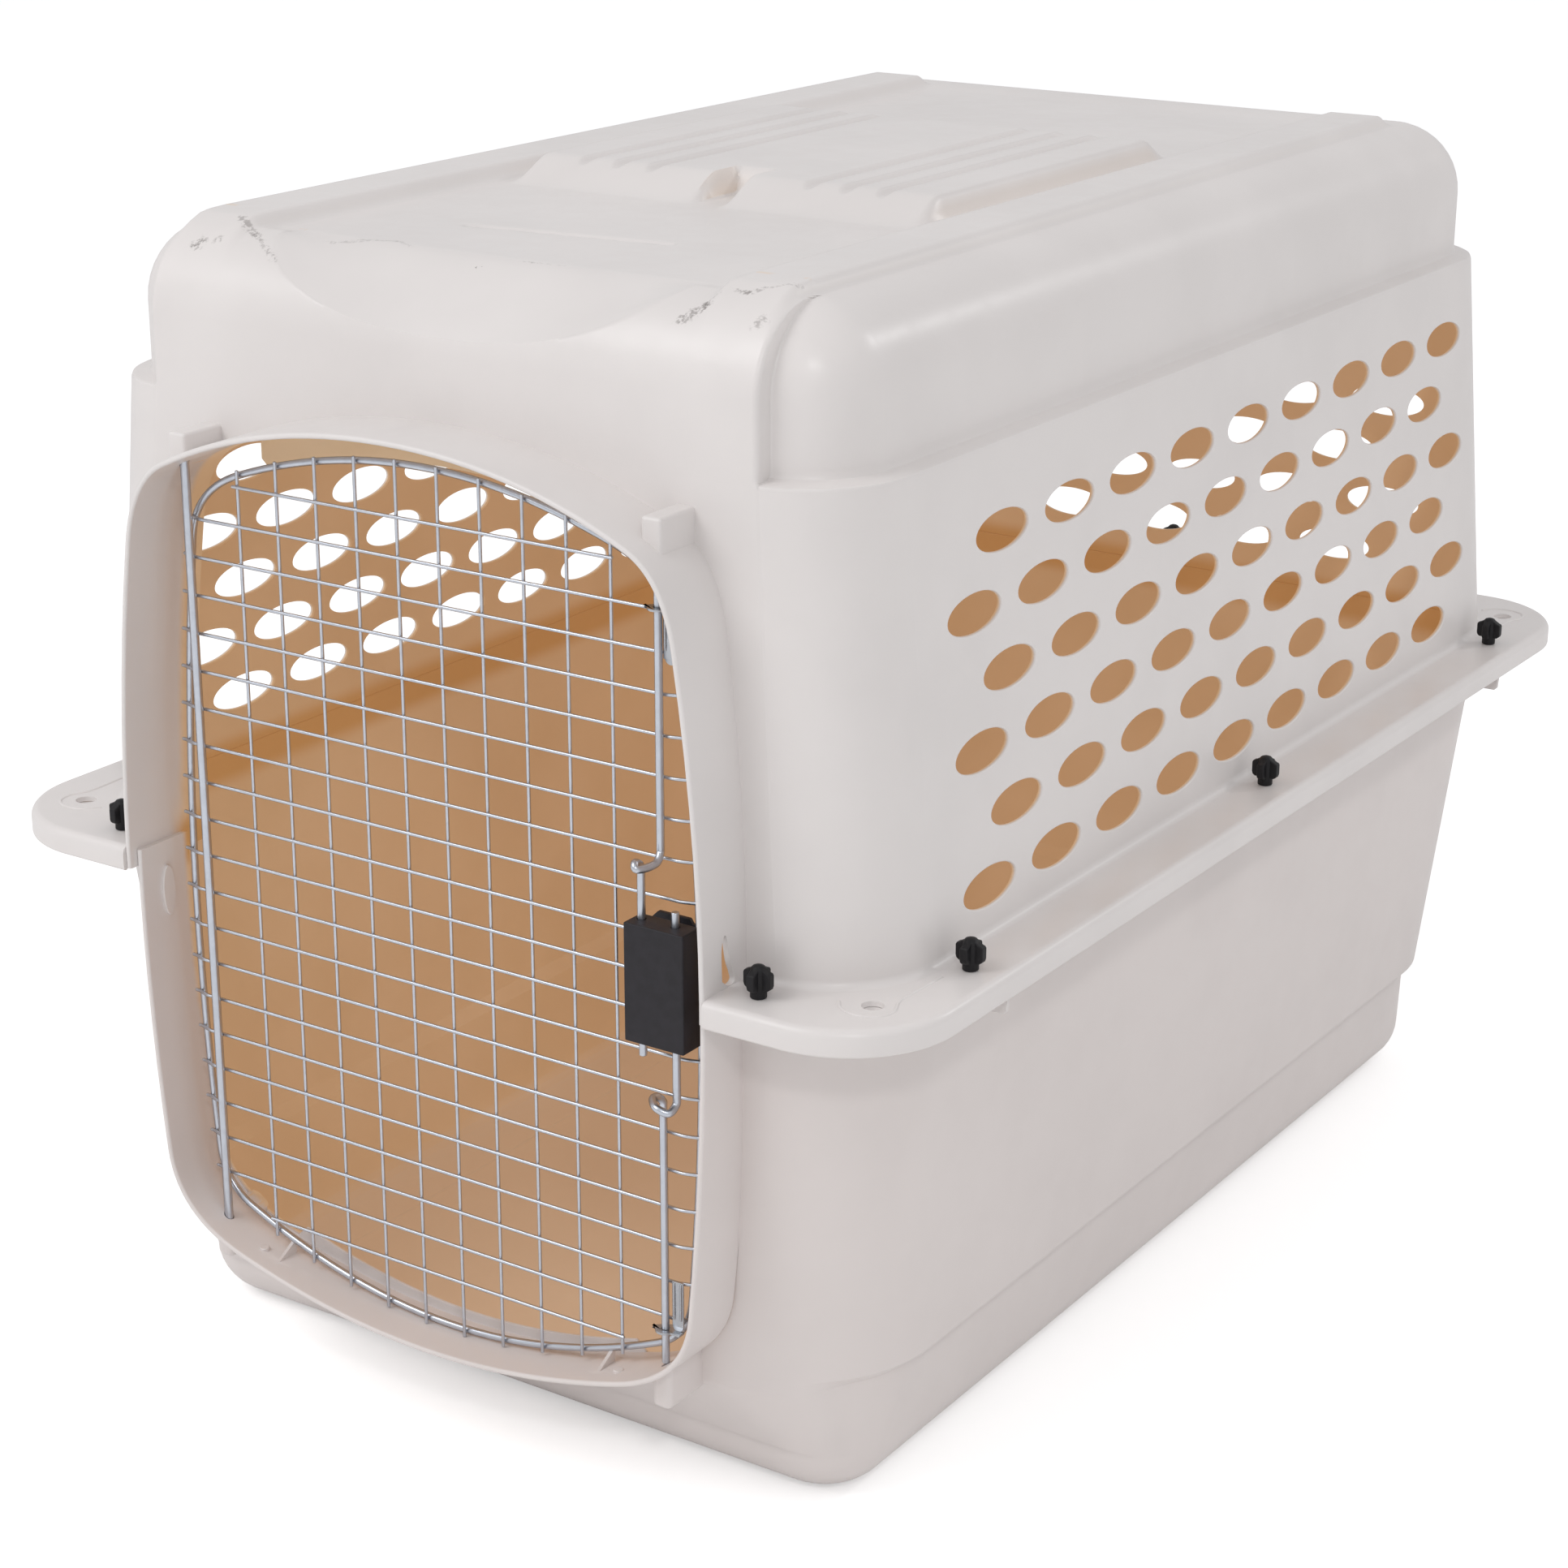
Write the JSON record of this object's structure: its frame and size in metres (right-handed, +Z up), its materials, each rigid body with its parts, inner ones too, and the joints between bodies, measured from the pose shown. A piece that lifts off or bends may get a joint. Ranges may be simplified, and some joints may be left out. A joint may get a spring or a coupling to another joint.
{
  "type": "pet transport carrier",
  "caption": "Two-part moulded pet carrier with vented walls, a bolted flange and a swinging wire door with spring-loaded latch rods.",
  "frame": {"origin": "middle of the footprint, on the floor", "axes": "+Z up, the door faces -Y, +X is the latch side of the door"},
  "size_m": [0.688, 1.016, 0.755],
  "materials": {
    "shell": "satin moulded off-white with a fine pebbled grain",
    "zinc_wire": "bright zinc-plated steel wire",
    "stamped_steel": "zinc-plated stamping",
    "fastener_steel": "zinc-plated",
    "latch_black": "fine matt texture",
    "nut_black": "satin"
  },
  "bodies": {
    "lower_half": {"bottom_shell": "shell", "flange_bolt_left_front": "fastener_steel", "flange_bolt_left_middle": "fastener_steel", "flange_bolt_left_rear": "fastener_steel", "flange_bolt_right_front": "fastener_steel", "flange_bolt_right_middle": "fastener_steel", "flange_bolt_right_rear": "fastener_steel", "flange_bolt_door_left": "fastener_steel", "flange_bolt_door_right": "fastener_steel", "flange_bolt_back_left": "fastener_steel", "flange_bolt_back_right": "fastener_steel", "flange_bolt_back_middle": "fastener_steel"},
    "upper_half": {"top_shell": "shell"},
    "door": {"door_frame_wire": "zinc_wire", "door_grid": "zinc_wire", "hinge_rod": "zinc_wire", "rod_guide_upper": "stamped_steel", "rod_guide_lower": "stamped_steel", "latch_case": "latch_black", "latch_clamp_plate": "latch_black", "latch_screw_lower": "fastener_steel", "latch_screw_upper": "fastener_steel", "latch_spring_upper": "fastener_steel", "latch_spring_lower": "fastener_steel"},
    "latch_upper": {"latch_rod_upper": "zinc_wire"},
    "latch_lower": {"latch_rod_lower": "zinc_wire"},
    "nut_left_front": {"wing_nut_left_front": "nut_black"},
    "nut_left_middle": {"wing_nut_left_middle": "nut_black"},
    "nut_left_rear": {"wing_nut_left_rear": "nut_black"},
    "nut_right_front": {"wing_nut_right_front": "nut_black"},
    "nut_right_middle": {"wing_nut_right_middle": "nut_black"},
    "nut_right_rear": {"wing_nut_right_rear": "nut_black"},
    "nut_door_left": {"wing_nut_door_left": "nut_black"},
    "nut_door_right": {"wing_nut_door_right": "nut_black"},
    "nut_back_left": {"wing_nut_back_left": "nut_black"},
    "nut_back_right": {"wing_nut_back_right": "nut_black"},
    "nut_back_middle": {"wing_nut_back_middle": "nut_black"}
  },
  "joints": [
    {"name": "upper_half_lift", "type": "slide", "parent": "lower_half", "child": "upper_half", "axis": [0, 0, 1], "range_m": [0, 0.3]},
    {"name": "door_hinge", "type": "hinge", "parent": "lower_half", "child": "door", "pos_m": [-0.175, -0.4806, 0.35], "axis": [0, 0, -1], "range_deg": [0, 110]},
    {"name": "latch_upper_slide", "type": "slide", "parent": "door", "child": "latch_upper", "axis": [0, 0, 1], "range_m": [0, 0.012], "deforming": ["latch_spring_upper"]},
    {"name": "latch_lower_slide", "type": "slide", "parent": "door", "child": "latch_lower", "axis": [0, 0, -1], "range_m": [0, 0.012], "deforming": ["latch_spring_lower"]},
    {"name": "nut_left_front_turn", "type": "hinge", "parent": "upper_half", "child": "nut_left_front", "pos_m": [-0.322, -0.383, 0.361], "axis": [0, 0, 1], "continuous": true},
    {"name": "nut_left_middle_turn", "type": "hinge", "parent": "upper_half", "child": "nut_left_middle", "pos_m": [-0.322, 0, 0.361], "axis": [0, 0, 1], "continuous": true},
    {"name": "nut_left_rear_turn", "type": "hinge", "parent": "upper_half", "child": "nut_left_rear", "pos_m": [-0.322, 0.383, 0.361], "axis": [0, 0, 1], "continuous": true},
    {"name": "nut_right_front_turn", "type": "hinge", "parent": "upper_half", "child": "nut_right_front", "pos_m": [0.322, -0.383, 0.361], "axis": [0, 0, 1], "continuous": true},
    {"name": "nut_right_middle_turn", "type": "hinge", "parent": "upper_half", "child": "nut_right_middle", "pos_m": [0.322, 0, 0.361], "axis": [0, 0, 1], "continuous": true},
    {"name": "nut_right_rear_turn", "type": "hinge", "parent": "upper_half", "child": "nut_right_rear", "pos_m": [0.322, 0.383, 0.361], "axis": [0, 0, 1], "continuous": true},
    {"name": "nut_door_left_turn", "type": "hinge", "parent": "upper_half", "child": "nut_door_left", "pos_m": [-0.244, -0.484, 0.361], "axis": [0, 0, 1], "continuous": true},
    {"name": "nut_door_right_turn", "type": "hinge", "parent": "upper_half", "child": "nut_door_right", "pos_m": [0.244, -0.484, 0.361], "axis": [0, 0, 1], "continuous": true},
    {"name": "nut_back_left_turn", "type": "hinge", "parent": "upper_half", "child": "nut_back_left", "pos_m": [-0.18, 0.492, 0.361], "axis": [0, 0, 1], "continuous": true},
    {"name": "nut_back_right_turn", "type": "hinge", "parent": "upper_half", "child": "nut_back_right", "pos_m": [0.18, 0.492, 0.361], "axis": [0, 0, 1], "continuous": true},
    {"name": "nut_back_middle_turn", "type": "hinge", "parent": "upper_half", "child": "nut_back_middle", "pos_m": [0, 0.492, 0.361], "axis": [0, 0, 1], "continuous": true}
  ],
  "couplings": [
    {"joint": "latch_lower_slide", "follows": "latch_upper_slide", "ratio": 1}
  ]
}
